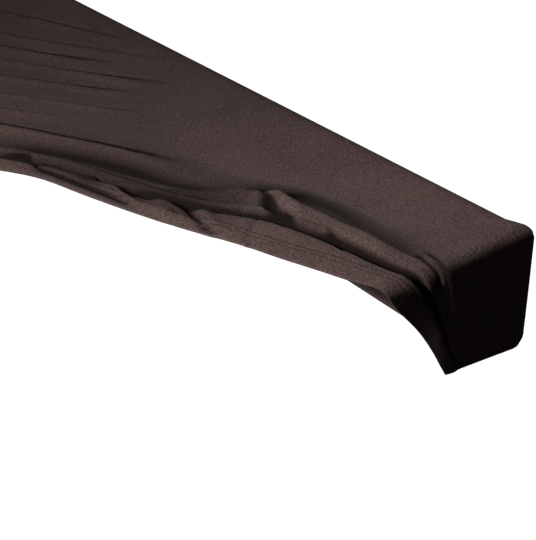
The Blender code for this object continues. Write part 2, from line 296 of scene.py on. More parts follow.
def tight_marks(form: Form, core_y: np.ndarray, turn_y: np.ndarray) -> np.ndarray:
    """Marks of the stretched sections, from the hem to the brow.

    Args:
        form: The cover's outer shape.
        core_y: y of the core's edge under each section.
        turn_y: y part of each section's direction away from the core.

    Returns:
        Run lengths from the core, (sections, 11).
    """
    _, _, brow, top_end, wall_end, lower_end = form.edge_lengths(core_y, turn_y)
    inner = np.maximum(brow, form.least_brow)
    tuck = [lower_end + form.tuck, lower_end + form.tuck / 2]
    lower_bend = [lower_end + (wall_end - lower_end) * k / 3 for k in range(4)]
    top_bend = [top_end + (inner - top_end) * k / 3 for k in range(4)]
    return np.stack(np.broadcast_arrays(*tuck, *lower_bend, (wall_end + top_end) / 2, *top_bend), -1)


def tight_sections(form: Form, core: np.ndarray, degrees: np.ndarray, loop: np.ndarray) -> Sections:
    """Sections where the cloth is pulled tight over the form.

    Args:
        form: The cover's outer shape.
        core: Places on the core's edge, (sections, 2).
        degrees: Directions away from the core, counted from +X.
        loop: The sections' inner ends, (sections, 2).

    Returns:
        The sections, with no folds.
    """
    turn = np.radians(degrees)
    away = pairs(np.cos(turn), np.sin(turn))
    marks = tight_marks(form, core[:, 1], away[:, 1])
    outer = core[:, None] + away[:, None] * marks[..., None]
    points = np.concatenate([outer, loop[:, None]], 1)
    flat = np.zeros(points.shape[:2])
    return Sections(points, points, flat, flat, np.zeros(len(points)))


@dataclass(frozen=True)
class LiftedCorner:
    """The front right corner, lifted and pushed back: a hem band, a lower fold and an upper fold beside each other.

    Each row of sections is one section across the folds, in millimetres: the hem's place on the sheet, the x that it
    points at on the line target_y, the number of columns to the next row, 0 to 1 for looseness, the width of the
    hem band and its height, the distance from the hem and height of the lower fold, the share of that height kept
    between it and the ridge, the distance and height of the ridge, the distance of the crease behind it, the shares
    of the painted shade on its front, of the valley's painted shade and painted shadow behind the roll, and of the
    swell, and the place of the section's inner end.
    """

    form: Form
    columns: tuple[str, ...] = (
        "run_x", "run_y", "target", "parts", "loose", "band", "band_up", "fold", "fold_up", "dip", "ridge",
        "ridge_up", "crease", "shade", "valley", "swell", "loop_x", "loop_y",
    )
    shares: tuple[str, ...] = ("parts", "loose", "dip", "shade", "valley", "swell")
    sections: tuple[tuple[float, ...], ...] = (
        (-55, -267, -80, 12, 0.0, 14, 4, 22, 0, 0.6, 34, 0, 46, 0.0, 0.0, 0.0, -62, -118),
        (0, -252, -45, 12, 0.0, 14, 4, 22, 0, 0.6, 34, 0, 46, 0.0, 0.0, 0.0, -8, -118),
        (45, -217, -15, 12, 0.0, 14, 4, 22, 1, 0.6, 32, 1, 42, 0.0, 0.0, 0.1, 32, -114),
        (80, -184, 15, 12, 0.0, 14, 4, 20, 3, 0.6, 29, 3, 37, 0.0, 0.2, 0.3, 66, -92),
        (120, -147, 45, 14, 1.0, 14, 4, 20, 4, 0.6, 29, 3, 37, 0.0, 0.4, 0.7, 96, -63),
        (160, -126, 70, 16, 1.0, 13, 4, 21, 6, 0.6, 31, 2, 41, 0.3, 0.7, 1.0, 125, -31),
        (197, -107, 100, 20, 1.0, 14, 4, 24, 7, 0.6, 34, 1, 44, 0.6, 1.1, 1.0, 155, -10),
        (235, -88, 130, 26, 1.0, 14, 4, 27, 7, 0.6, 37, 0, 47, 0.75, 1.2, 1.0, 185, 11),
        (286, -73, 170, 22, 1.0, 15, 4, 31, 7, 0.7, 42, 0, 55, 0.85, 1.3, 1.0, 225, 27),
        (328, -59, 220, 24, 1.0, 18, 4, 33, 7, 0.8, 45, 1, 58, 0.95, 1.1, 0.8, 271, 36),
        (373, -42, 270, 15, 1.0, 24, 5, 36, 7, 0.6, 55, 6, 68, 0.85, 1.2, 0.4, 317, 46),
        (401, -29, 305, 14, 1.0, 30, 6, 42, 7, 0.4, 66, 7, 80, 0.6, 1.3, 0.1, 344, 58),
        (426, -18, 345, 14, 1.0, 35, 5, 45, 7, 0.7, 62, 7, 80, 0.0, 1.2, 0.0, 374, 69),
        (452, -9, 392, 15, 1.0, 33, 5, 42, 7, 1.1, 56, 6, 74, 0.0, 1.1, 0.0, 412, 76),
        (481, 2, 430, 15, 1.0, 27, 5, 35, 7, 1.2, 47, 7, 62, 0.0, 0.9, 0.0, 446, 78),
        (512, 14, 455, 14, 1.0, 23, 4, 31, 7, 1.3, 42, 8, 57, 0.0, 0.6, 0.0, 472, 81),
        (538, 29, 473, 12, 1.0, 20, 3, 27, 5, 1.2, 37, 7, 54, 0.0, 0.4, 0.0, 486, 84),
        (567, 53, 487, 9, 1.0, 16, 3, 22, 3, 0.9, 33, 5, 48, 0.0, 0.2, 0.0, 487, 91),
        (590, 68, 496, 8, 1.0, 13, 4, 19, 2, 0.8, 29, 3, 42, 0.0, 0.0, 0.0, 487, 98),
        (616, 83, 500, 7, 0.5, 12, 4, 18, 2, 0.8, 28, 1, 38, 0.0, 0.0, 0.0, 487, 105),
        (638, 101, 504, 1, 0.0, 12, 4, 18, 0, 0.8, 28, 0, 38, 0.0, 0.0, 0.0, 488, 112),
    )
    target_y: float = 0.118
    hem_lift: float = 0.0010
    groove_lift: float = -0.0004
    crease_lift: float = 0.0005
    swell_lift: float = 0.0035
    band_crest: float = 0.55
    band_end: float = 0.93
    band_crest_share: float = 0.85
    groove_share: float = 0.40
    behind_share: float = 0.30
    swell_at: float = 0.36
    swell_end: float = 0.75
    swell_end_share: float = 0.3
    close_rings: float = 0.004
    end_blend: float = 0.030
    # Marks that get painted shade, each with its share: the groove under the fold, the valley behind the ridge, the
    # fold's front and the painted shadow behind the roll.
    groove_shade_marks: Marks = ((2, 0.20), (3, 1.0), (4, 0.10))
    valley_shade_marks: Marks = ((7, 0.50), (8, 0.95))
    shade_marks: Marks = ((1, 0.5), (2, 0.6), (4, 0.8), (5, 1.0), (6, 0.9), (9, 0.4), (10, 0.3))
    shadow_marks: Marks = ((9, 0.85), (10, 0.55), (11, 0.20))

    def rows(self) -> dict[str, np.ndarray]:
        """Reads the table at every column of the grid.

        Returns:
            One array for each named column, in metres or as shares.
        """
        scale = np.array([1.0 if name in self.shares else MM for name in self.columns])
        parts = tuple(int(row[self.columns.index("parts")]) for row in self.sections[:-1])
        values = smooth_rows(np.array(self.sections, float) * scale, steps_of(parts))
        return dict(zip(self.columns, values.T))

    def folded_marks(self, row: dict[str, np.ndarray]) -> tuple[np.ndarray, np.ndarray]:
        """Marks from the hem to the crease where the cloth lies in folds.

        Args:
            row: The table, as rows gives it.

        Returns:
            Distances from the hem, and heights: two arrays (sections, 9).
        """
        zero = np.zeros_like(row["band"])
        away = (
            zero,
            self.band_crest * row["band"],
            self.band_end * row["band"],
            row["band"] + self.groove_share * (row["fold"] - row["band"]),
            row["fold"],
            (row["fold"] + row["ridge"]) / 2,
            row["ridge"],
            (row["ridge"] + row["crease"]) / 2,
            row["crease"],
        )
        up = (
            zero + self.hem_lift,
            self.band_crest_share * row["band_up"],
            row["band_up"],
            zero + self.groove_lift,
            row["fold_up"],
            row["dip"] * np.minimum(row["fold_up"], row["ridge_up"]),
            row["ridge_up"],
            self.behind_share * row["ridge_up"],
            zero + self.crease_lift,
        )
        return np.stack(away, -1), np.stack(up, -1)

    def inner_shares(self, crease_x: np.ndarray, loop_x: np.ndarray) -> np.ndarray:
        """Places of the last three marks between the crease and the loop.

        Where the crease lies down on the end wall they are at the two ends of the top edge's bend.

        Args:
            crease_x: x of the creases' run coordinates.
            loop_x: x of the sections' inner ends.

        Returns:
            The places as shares, (sections, 3, 1).
        """
        _, _, brow, top_end, _, _ = self.form.edge_lengths(np.float64(0), np.float64(0))
        over = np.clip((crease_x - self.form.core_x - top_end) / self.end_blend, 0, 1)
        length = np.maximum(crease_x - loop_x, SMALLEST)
        bend_end = np.clip((crease_x - self.form.core_x - top_end) / length, 0, 1)
        bend_start = np.clip((crease_x - self.form.core_x - brow) / length, 0, 1)
        first = self.swell_at + (bend_end - self.swell_at) * over
        second = self.swell_end + (bend_start - self.swell_end) * over
        return np.stack([first, second, np.ones_like(first)], -1)[..., None]

    def tight_places(self, hem: np.ndarray, along: np.ndarray, slack: np.ndarray) -> np.ndarray:
        """The marks where the cloth is stretched.

        Args:
            hem: The sections' hems, (sections, 2).
            along: Their directions, (sections, 2).
            slack: Their marks in folds, which they keep on the top.

        Returns:
            Run coordinates (sections, 12): on the walls the marks lie on the form's edges, and those that the
            climbing hem has passed close up behind it.
        """
        front = hem[:, 1] < -self.form.core_y
        end = (hem[:, 0] > self.form.core_x) & ~front
        past = np.where(front, -hem[:, 1] - self.form.core_y, hem[:, 0] - self.form.core_x)
        toward = np.where(front, along[:, 1], -along[:, 0])
        core_y, turn_y = np.where(front, -self.form.core_y, hem[:, 1]), np.where(front, -1.0, 0.0)
        marks = tight_marks(self.form, core_y, turn_y)
        marks[:, 0] = past
        marks = np.minimum(marks, past[:, None] - self.close_rings * np.arange(marks.shape[1]))
        reach = (past[:, None] - marks) / toward[:, None]
        tight = np.concatenate([hem[:, None] + along[:, None] * reach[..., None], slack[:, -1:]], 1)
        return np.where((front | end)[:, None, None], tight, slack)

    def shades(self, row: dict[str, np.ndarray]) -> np.ndarray:
        """How much painted shade each mark gets: in a groove, in the valley, on a fold's front and as a painted
        shadow behind the roll.

        Args:
            row: The table, as rows gives it.

        Returns:
            Painted shade from 0 to 1, (sections, 12).
        """
        painted_shade_depths = np.zeros((len(row["valley"]), 12))
        behind = row["valley"] * (1 - np.clip(row["swell"], 0, 1))
        layers = (
            (self.groove_shade_marks, np.ones(len(painted_shade_depths))),
            (self.valley_shade_marks, row["valley"]),
            (self.shade_marks, row["shade"]),
            (self.shadow_marks, behind),
        )
        for marks, strength in layers:
            for mark, share in marks:
                painted_shade_depths[:, mark] = np.maximum(painted_shade_depths[:, mark], share * strength)
        return painted_shade_depths

    def build(self) -> Sections:
        """Works out the sections of the lifted corner, one for each column of the grid.

        Where the cloth is loose the marks follow the folds, and elsewhere they keep to the form.

        Returns:
            The sections.
        """
        row = self.rows()
        hem = pairs(row["run_x"], row["run_y"])
        loop = pairs(row["loop_x"], row["loop_y"])
        along = unit(pairs(row["target"], self.target_y) - hem)
        away, up = self.folded_marks(row)
        folds = hem[:, None] + along[:, None] * away[..., None]
        crease = folds[:, -1:]
        inner = crease + (loop[:, None] - crease) * self.inner_shares(crease[:, 0, 0], loop[:, 0])
        slack = np.concatenate([folds, inner], 1)
        swell = self.swell_lift * row["swell"]
        lifts = np.concatenate([up, np.stack([swell, self.swell_end_share * swell, 0 * swell], -1)], 1)
        tight = self.tight_places(hem, along, slack)
        return Sections(tight, slack, lifts, self.shades(row), np.clip(row["loose"], 0, 1))


@dataclass(frozen=True)
class Fold:
    """One fold or crease of the cloth, along a path on the sheet.

    path is in millimetres of run, width and height in millimetres; a negative height is a trough. fade is the share
    of the path over which the fold dies out at either end, and fade_out the distances, in widths, between which it
    ends sideways.
    """

    path: tuple[Pair, ...]
    width: float
    height: float
    shape: Shape = Shape.SOFT
    fade: Pair = (0.3, 0.3)
    fade_out: Pair = (4.0, 6.0)
    points: int = 48

    def line(self) -> np.ndarray:
        """The path as points in metres."""
        steps = np.linspace(0, len(self.path) - 1, self.points)
        return smooth_rows(np.array(self.path, float) * MM, steps)

    def nearest(self, run: np.ndarray) -> tuple[np.ndarray, np.ndarray]:
        """Finds the place of the path that is nearest to each point.

        Args:
            run: Run coordinates, (n, 2).

        Returns:
            Distances from the path, and the places along it from 0 to 1.
        """
        line = self.line()
        best, place = np.full(len(run), np.inf), np.zeros(len(run))
        for k, (start, end) in enumerate(zip(line, line[1:])):
            step = end - start
            share = np.clip(((run - start) @ step) / (step @ step + SMALLEST**2), 0, 1)
            far = np.linalg.norm(run - (start + share[:, None] * step), axis=-1)
            place = np.where(far < best, (k + share) / (len(line) - 1), place)
            best = np.minimum(far, best)
        return best, place

    def section(self, across: np.ndarray) -> np.ndarray:
        """The fold's cross-section: a bell, or a narrower one with a sharp middle.

        Args:
            across: Distances from the path, in widths.

        Returns:
            Shares of the fold's height.
        """
        if self.shape is Shape.CREASE:
            return np.exp(-(across**1.3) * 1.2)
        return np.exp(-across * across)

    def lift(self, run: np.ndarray) -> np.ndarray:
        """Height that the fold adds to the sheet.

        Args:
            run: Run coordinates, (n, 2).

        Returns:
            Heights in metres.
        """
        line = self.line()
        inner, outer = self.fade_out
        margin = outer * self.width * MM
        close = np.all((run > line.min(0) - margin) & (run < line.max(0) + margin), axis=-1)
        far, place = self.nearest(run[close])
        across = far / (self.width * MM)
        start, end = (max(share, SMALLEST) for share in self.fade)
        ends = eased(np.minimum(place / start, (1 - place) / end))
        past = np.clip((across - inner) / (outer - inner), 0, 1)
        height = np.zeros(len(run))
        height[close] = self.section(across) * ends * self.height * MM * (1 - past)
        return height


@dataclass(frozen=True)
class Wrinkle:
    """A long wrinkle over the top: a sharp groove with a lip in front of it, along a parabola through three places.

    The places are in millimetres of run from the left to the right, the widths and heights in millimetres. The same
    formulas serve the mesh's points and the shader, so that the painted shade of the groove's core lies in the
    groove. lip_place is the lip's distance from the groove in its own widths, hidden the length that each unit of
    its height hides from in front, and core_edges the painted core shade's inner and outer edges in its own widths.
    """

    start: Pair
    middle: Pair
    end: Pair
    groove: float = 3.4
    depth: float = 1.8
    lip: float = 7.0
    lip_height: float = 2.4
    core: float = 0.8
    # dark is the strength of the painted shade in the groove's core.
    dark: float = 0.7
    fade: Pair = (0.35, 0.35)
    lip_place: float = 0.9
    hidden: float = 1.9
    core_edges: Pair = (0.5, 2.2)

    def across(self, x: object, y: object) -> object:
        """Distance behind the parabola; arrays and shader values both work.

        Args:
            x: Run coordinate to the right, in millimetres.
            y: Run coordinate to the back, in millimetres.

        Returns:
            The distance in millimetres.
        """
        (x0, y0), (x1, y1), (x2, y2) = self.start, self.middle, self.end
        first = (y1 - y0) / (x1 - x0)
        bend = ((y2 - y1) / (x2 - x1) - first) / (x2 - x0)
        flat = 1 / math.hypot(1, (y2 - y0) / (x2 - x0))
        return (y - (x - x0) * (x - x1) * bend - (x - x0) * first - y0) * flat

    def ends(self) -> tuple[float, float, float, float]:
        """Where the wrinkle fades.

        Returns:
            x where it starts, is full, starts to die out and has died out.
        """
        length = self.end[0] - self.start[0]
        first, last = self.start[0] + length * self.fade[0], self.end[0] - length * self.fade[1]
        return self.start[0], first, last, self.end[0]

    def lift(self, run: np.ndarray) -> np.ndarray:
        """Height that the wrinkle adds to the sheet.

        Args:
            run: Run coordinates, (n, 2).

        Returns:
            Heights in metres.
        """
        x, y = run[:, 0] / MM, run[:, 1] / MM
        behind = self.across(x, y)
        start, first, last, end = self.ends()
        here = eased(np.minimum((x - start) / (first - start), (end - x) / (end - last)))
        lip = self.lip_height * np.exp(-((behind / self.lip + self.lip_place) ** 2))
        return (lip - self.depth * np.exp(-((behind / self.groove) ** 2))) * here * MM

    def core_place(self) -> float:
        """Distance of the dark core's middle behind the parabola: past the part that the lip hides."""
        return max(self.lip_height * self.hidden - self.lip * self.lip_place + self.core, 0.0)

    def painted_core_shade(self, graph: "Graph", x: "Value", y: "Value") -> "Value":
        """Painted shade in the groove's core behind the lip, for the shader.

        Args:
            graph: The material's graph.
            x: Run coordinate to the right, in millimetres.
            y: Run coordinate to the back, in millimetres.

        Returns:
            The wrinkle's painted shade in the core, and zero away from it.
        """
        behind = graph.math("ABSOLUTE", self.across(x, y) - self.core_place())
        start, first, last, end = self.ends()
        inner, outer = self.core_edges
        inside = 1 - behind.smooth(self.core * inner, self.core * outer)
        return inside * x.smooth(start, first) * (1 - x.smooth(last, end)) * self.dark


@dataclass(frozen=True)
class Folds:
    """All the folds that the grid's own sections do not carry.

    wrinkles run over the top, broad and small folds lie in the bunch; small ones are raised from the folded cloth,
    and a trough as low as full_depth gets the full painted shade.
    """

    wrinkles: tuple[Wrinkle, ...] = (
        Wrinkle((-330, 38), (-171, 89), (13, 136), depth=2.4, core=1.3, dark=0.8),
        Wrinkle((-260, 2), (-78, 75), (72, 137), depth=1.8, lip_height=2.2, core=1.2, dark=0.7),
        Wrinkle((-200, -18), (-44, 59), (32, 95), depth=3.0, lip_height=3.2, core=1.8, dark=1.0),
        Wrinkle((-150, -40), (-10, 43), (127, 109), depth=3.0, lip_height=3.2, core=1.5, dark=0.95),
        Wrinkle((-90, -62), (43, 33), (111, 78), depth=3.0, lip_height=3.4, core=1.7, dark=1.0),
        Wrinkle((-50, -80), (92, 17), (160, 65), depth=2.2, core=1.2, dark=0.85),
        Wrinkle((0, -85), (61, -50), (130, 8), depth=1.6, lip_height=2.0, core=1.1, dark=0.7),
        Wrinkle((40, -101), (165, -40), (290, 38), 4.0, 5.0, 8.0, 4.2, 3.2, 1.0, (0.2, 0.35)),
    )
    broad: tuple[Fold, ...] = (
        # the cloth that rises to the roll from behind
        Fold(((334, 16), (364, 32), (394, 42), (428, 47), (463, 50), (493, 56), (516, 66)), 25.0, 8.0),
    )
    small: tuple[Fold, ...] = (
        # dark groove above the hem's roll, left part
        Fold(((170, -104), (198, -83), (222, -83), (238, -78), (267, -70), (288, -64), (305, -59), (329, -53),
              (367, -44)), 2.6, -3.6, Shape.CREASE, (0.1, 0.2)),
        # two thin pleats that cross above it
        Fold(((196, -82), (211, -78), (231, -70), (250, -64), (270, -55)), 3.6, 3.4, fade=(0.2, 0.2)),
        Fold(((252, -62), (270, -58), (292, -56), (318, -53), (341, -47), (360, -39), (376, -31), (388, -24)),
             3.0, 4.2, fade=(0.12, 0.35)),
        # main groove, under the fold's front
        Fold(((300, -43), (314, -36), (355, -16), (381, 1), (405, 16), (437, 24), (469, 31), (499, 38), (524, 48),
              (552, 65), (575, 76)), 2.2, -2.4, Shape.CREASE, (0.15, 0.15)),
        # short pleats between the hem and the main groove
        Fold(((340, -32), (352, -26), (370, -28), (385, -29), (402, -27)), 2.4, -4.2, Shape.CREASE, (0.25, 0.25)),
        Fold(((326, -44), (340, -38), (356, -36)), 6.5, 3.6, fade=(0.4, 0.4)),
        Fold(((358, -20), (376, -21), (396, -20)), 4.5, 2.6, fade=(0.4, 0.4)),
        # sharp ridge that climbs to the peak
        Fold(((300, -20), (316, -16), (329, -10), (345, 3), (354, 14), (362, 26)), 3.6, 3.6, fade=(0.3, 0.1)),
        Fold(((280, -36), (300, -28), (322, -20), (338, -10), (350, 4)), 3.0, -2.6, Shape.CREASE),
        # sunken pocket beside the peak; its troughs also get painted shade
        Fold(((352, 42), (364, 35), (376, 29), (388, 26)), 2.2, -2.2, fade=(0.2, 0.2)),
        Fold(((374, 30), (384, 26), (398, 23), (412, 22), (426, 20)), 4.6, -5.2),
        Fold(((366, 42), (380, 37), (396, 34), (412, 34), (430, 32)), 4.0, 2.6, fade=(0.2, 0.3)),
        # small creases on the roll
        Fold(((418, 26), (438, 31), (460, 35)), 1.8, -1.6, Shape.CREASE),
        Fold(((448, 33), (462, 30), (482, 26)), 2.0, -1.8, Shape.CREASE),
        # creases at the roll's end, over the form's top edge
        Fold(((505, 70), (516, 66), (527, 61)), 2.0, -2.8, Shape.CREASE),
        Fold(((505, 78), (516, 77), (528, 75)), 2.0, -2.4, Shape.CREASE),
        Fold(((521, 60), (528, 65), (536, 66), (546, 66)), 2.2, -3.2, Shape.CREASE),
        # slight ripples beside the plain corners
        Fold(((-478, -190), (-474, -225), (-468, -262)), 9.0, 1.7, fade=(0.5, 0.2)),
        Fold(((-446, -200), (-440, -230), (-432, -264)), 12.0, 1.4, fade=(0.5, 0.2)),
        Fold(((-556, -98), (-590, -105), (-628, -114)), 8.0, 1.6, fade=(0.5, 0.2)),
        Fold(((-560, 52), (-596, 62), (-630, 70)), 9.0, 1.3, fade=(0.5, 0.2)),
        Fold(((-560, 104), (-596, 110), (-628, 116)), 8.0, 1.6, fade=(0.5, 0.2)),
        Fold(((-468, 190), (-462, 226), (-456, 262)), 10.0, 1.6, fade=(0.5, 0.2)),
        Fold(((-430, 196), (-420, 230), (-412, 264)), 13.0, 1.2, fade=(0.5, 0.2)),
        Fold(((470, 190), (464, 226), (456, 262)), 10.0, 1.6, fade=(0.5, 0.2)),
        Fold(((436, 196), (426, 232), (416, 266)), 13.0, 1.2, fade=(0.5, 0.2)),
        # dart seams down the plain corners
        Fold(((-515, -147), (-560, -192), (-606, -238)), 9.0, -1.1, Shape.CREASE, (0.2, 0.02)),
        Fold(((-515, 147), (-570, 202), (-620, 252)), 9.0, -1.1, Shape.CREASE, (0.2, 0.02)),
        Fold(((515, 147), (570, 202), (620, 252)), 9.0, -1.1, Shape.CREASE, (0.2, 0.02)),
        # dart seam from the hem to the peak
        Fold(((426, -17), (417, -12), (408, -3), (399, 8)), 1.2, -1.3, Shape.CREASE, (0.05, 0.1)),
        Fold(((398, 16), (392, 20), (384, 26), (372, 33)), 1.2, -1.3, Shape.CREASE, (0.05, 0.1)),
    )
    full_depth: float = 0.003

    def wide_lift(self, run: np.ndarray) -> np.ndarray:
        """Height of the wrinkles and broad folds at each point of the sheet."""
        return sum(fold.lift(run) for fold in self.wrinkles + self.broad)

    def small_lift(self, run: np.ndarray) -> np.ndarray:
        """Height of the small folds at each point of the sheet."""
        return sum(fold.lift(run) for fold in self.small)


class Value:
    """A shader value that takes part in plain arithmetic."""

    def __init__(self, graph: "Graph", output: bpy.types.NodeSocket) -> None:
        """Keeps the material's graph and the node output that carries the value."""
        self.graph = graph
        self.output = output

    def __add__(self, other: Term) -> "Value":
        """This value plus another."""
        return self.graph.math("ADD", self, other)

    def __sub__(self, other: Term) -> "Value":
        """This value less another."""
        return self.graph.math("SUBTRACT", self, other)

    def __rsub__(self, other: float) -> "Value":
        """A number less this value."""
        return self.graph.math("SUBTRACT", other, self)

    def __mul__(self, other: Term) -> "Value":
        """This value times another."""
        return self.graph.math("MULTIPLY", self, other)

    def __truediv__(self, other: Term) -> "Value":
        """This value divided by another."""
        return self.graph.math("DIVIDE", self, other)

    def __rtruediv__(self, other: float) -> "Value":
        """A number divided by this value."""
        return self.graph.math("DIVIDE", other, self)

    def __pow__(self, power: float) -> "Value":
        """This value raised to a power."""
        return self.graph.math("POWER", self, power)

    __radd__ = __add__
    __rmul__ = __mul__

    def wave(self) -> "Value":
        """Sine of this value."""
        return self.graph.math("SINE", self)

    def smooth(self, low: float, high: float) -> "Value":
        """A smooth rise of this value from zero to one.

        Args:
            low: Where the rise starts.
            high: Where it ends.

        Returns:
            The rise.
        """
        settings = {"interpolation_type": "SMOOTHSTEP"}
        values = {"Value": self, "From Min": low, "From Max": high, "To Min": 0.0, "To Max": 1.0}
        return self.graph.node("ShaderNodeMapRange", settings, values)["Result"]


class Outputs:
    """The outputs of one node, read by name as values."""

    def __init__(self, graph: "Graph", node: bpy.types.Node) -> None:
        """Keeps the graph and the node."""
        self.graph = graph
        self.node = node

    def __getitem__(self, name: str | int) -> Value:
        """The output with this name or number."""
        return Value(self.graph, self.node.outputs[name])


class Graph:
    """The nodes of one material, around its Principled shader."""

    def __init__(self, name: str) -> None:
        """Starts a material.

        Args:
            name: The material's name.
        """
        self.material = bpy.data.materials.new(name)
        self.material.use_nodes = True
        self.tree = self.material.node_tree
        self.shader = self.tree.nodes["Principled BSDF"]

    def node(self, kind: str, settings: dict | None = None, values: dict | None = None) -> Outputs:
        """Adds a node.

        Args:
            kind: The node's type.
            settings: Its properties by name.
            values: Its inputs by name or number, each a number, a colour or a linked value.

        Returns:
            The node's outputs.
        """
        made = self.tree.nodes.new(kind)
        for name, setting in (settings or {}).items():
            setattr(made, name, setting)
        for name, value in (values or {}).items():
            self.fill(made.inputs[name], value)
        return Outputs(self, made)

    def fill(self, socket: bpy.types.NodeSocket, value: object) -> None:
        """Links a value to an input, or sets a constant on it.

        Args:
            socket: The node's input.
            value: A linked value, a number or a colour.
        """
        if isinstance(value, Value):
            self.tree.links.new(value.output, socket)
        else:
            socket.default_value = value

    def math(self, operation: str, *values: Term) -> Value:
        """A Math node on up to three values."""
        return self.node("ShaderNodeMath", {"operation": operation}, dict(enumerate(values)))[0]

    def mix(self, share: Term, first: object, second: object) -> Value:
        """A mix of two colours."""
        values = {"Factor": share, 6: first, 7: second}
        return self.node("ShaderNodeMix", {"data_type": "RGBA"}, values)[2]

    def noise(self, place: Value, scale: float, detail: float = 2.0) -> Value:
        """Fractal noise from 0 to 1 at a place, with scale in cells a metre."""
        values = {"Vector": place, "Scale": scale, "Detail": detail}
        return self.node("ShaderNodeTexNoise", values=values)[0]

    def clamped(self, value: Value) -> Value:
        """The value cut to 0 to 1."""
        return self.node("ShaderNodeClamp", values={"Value": value})[0]

    def parts(self, place: Value) -> Outputs:
        """The X, Y and Z of a vector."""
        return self.node("ShaderNodeSeparateXYZ", values={0: place})

    def layer(self, name: str) -> Value:
        """A number kept on the mesh's points."""
        return self.node("ShaderNodeAttribute", {"attribute_name": name})["Fac"]

    def bumped(self, height: Value, distance: float, strength: float) -> Value:
        """The surface's normal, tilted by a height that runs from 0 to 1 over distance metres."""
        values = {"Height": height, "Distance": distance, "Strength": strength}
        return self.node("ShaderNodeBump", values=values)[0]

    def finish(self, **values: object) -> bpy.types.Material:
        """Links or sets the shader's inputs.

        Args:
            **values: Values by the inputs' names, with underscores for spaces.

        Returns:
            The material.
        """
        for name, value in values.items():
            self.fill(self.shader.inputs[name.replace("_", " ")], value)
        return self.material


@dataclass(frozen=True)
class KnitFinish:
    """Black-brown stretch knit of fine dark and slightly lighter yarn, dull and a little uneven.

    The scales are in cells a metre, and each weight is what its pattern adds to the yarn's tone, from dark to light.
    """

    dark: Colour = (0.020, 0.0125, 0.0112, 1.0)
    light: Colour = (0.110, 0.072, 0.066, 1.0)
    # Near-black colour of the painted shade in creases, grooves and behind the folds.
    painted_shade: Colour = (0.0035, 0.0020, 0.0016, 1.0)
    tone: float = 0.46
    wale: float = 0.00115
    course: float = 0.00090
    loop_weight: float = 0.22
    drift_scale: float = 60.0
    drift_along: float = 4.8
    drift_across: float = 3.2
    loop_lean: float = 3.0
    patch_scale: float = 14.0
    patch_weight: float = 0.35
    heather_scale: float = 620.0
    heather_weight: float = 1.4
    yarn_scale: float = 1300.0
    yarn_weight: float = 1.5
    fibre_scale: float = 2400.0
    fibre_weight: float = 1.2
    painted_shade_power: float = 1.3
    painted_shade_weight: float = 0.95
    seam_at: float = 0.0165
    seam_edges: Pair = (0.00025, 0.001333)
    seam_weight: float = 0.10
    wear_width: float = 0.004
    wear_weight: float = 0.06
    roughness: float = 0.86
    bump: float = 0.00022

    def knit(self, graph: Graph, run: Outputs) -> Value:
        """The knit's relief.

        The wales are V shaped loops: a ridge across the wale, and courses that lean one way on each half of it.

        Args:
            graph: The material's graph.
            run: The run coordinates.

        Returns:
            The relief from 0 to 1.
        """
        drift = graph.noise(run["UV"], self.drift_scale)
        split = graph.parts(run["UV"])
        along = split["X"] * (2 * math.pi / self.course) + drift * self.drift_along
        across = split["Y"] * (2 * math.pi / self.wale) + drift * self.drift_across
        lean = graph.math("ABSOLUTE", (across * 0.5).wave())
        loops = (along + lean * self.loop_lean).wave() * 0.5 + 0.5
        return lean * 0.6 + loops * 0.4

    def painted_cores(self, graph: Graph, run: Outputs) -> Value:
        """Painted shade along the middles of the long wrinkles' grooves.

        Args:
            graph: The material's graph.
            run: The run coordinates.

        Returns:
            Their painted shade from 0 to 1.
        """
        split = graph.parts(run["UV"])
        x, y = split["X"] / MM, split["Y"] / MM
        return sum(wrinkle.painted_core_shade(graph, x, y) for wrinkle in Folds().wrinkles)

    def material(self) -> bpy.types.Material:
        """Makes the yarn of uneven tone, with painted shade in the creases, grooves and behind the folds, and darker
        along the seam.

        Returns:
            The cloth's material.
        """
        graph = Graph("black_brown_stretch_knit")
        run = graph.node("ShaderNodeUVMap", {"uv_map": "run"})
        place = graph.node("ShaderNodeTexCoord")["Object"]
        knit, painted_cores = self.knit(graph, run), self.painted_cores(graph, run)
        yarn = graph.noise(place, self.yarn_scale, 3.0)
        fibre = graph.noise(place, self.fibre_scale)
        # The crease attribute holds the painted shade of the grooves, valleys and folds' shadows.
        crease, hem = graph.layer("crease"), graph.layer("hem")
        seam = 1 - graph.math("ABSOLUTE", hem - self.seam_at).smooth(*self.seam_edges)
        wear = 1 - hem.smooth(0.0, self.wear_width)
        tone = (graph.noise(place, self.heather_scale) - 0.5) * self.heather_weight
        tone = tone + (yarn - 0.5) * self.yarn_weight + (fibre - 0.5) * self.fibre_weight
        tone = tone + (graph.noise(place, self.patch_scale, 3.0) - 0.5) * self.patch_weight
        tone = tone + (knit - 0.5) * self.loop_weight + self.tone
        tone = tone - seam * self.seam_weight + wear * self.wear_weight
        yarns = graph.mix(graph.clamped(tone), self.dark, self.light)
        # Painted shade: the crease attribute and the wrinkle grooves' centre lines mix the yarn toward near black.
        painted_shade = graph.clamped(crease**self.painted_shade_power * self.painted_shade_weight + painted_cores)
        height = knit * 0.5 + yarn * 0.6 + fibre * 0.3 - seam * 0.9 - painted_cores * 2.0
        return graph.finish(
            Base_Color=graph.mix(painted_shade, yarns, self.painted_shade),
            Roughness=self.roughness + (yarn - 0.5) * 0.16 - wear * 0.08,
            Normal=graph.bumped(height, self.bump, 0.4),
            Sheen_Weight=0.02,
            Sheen_Roughness=0.5,
            Specular_IOR_Level=0.05,
        )


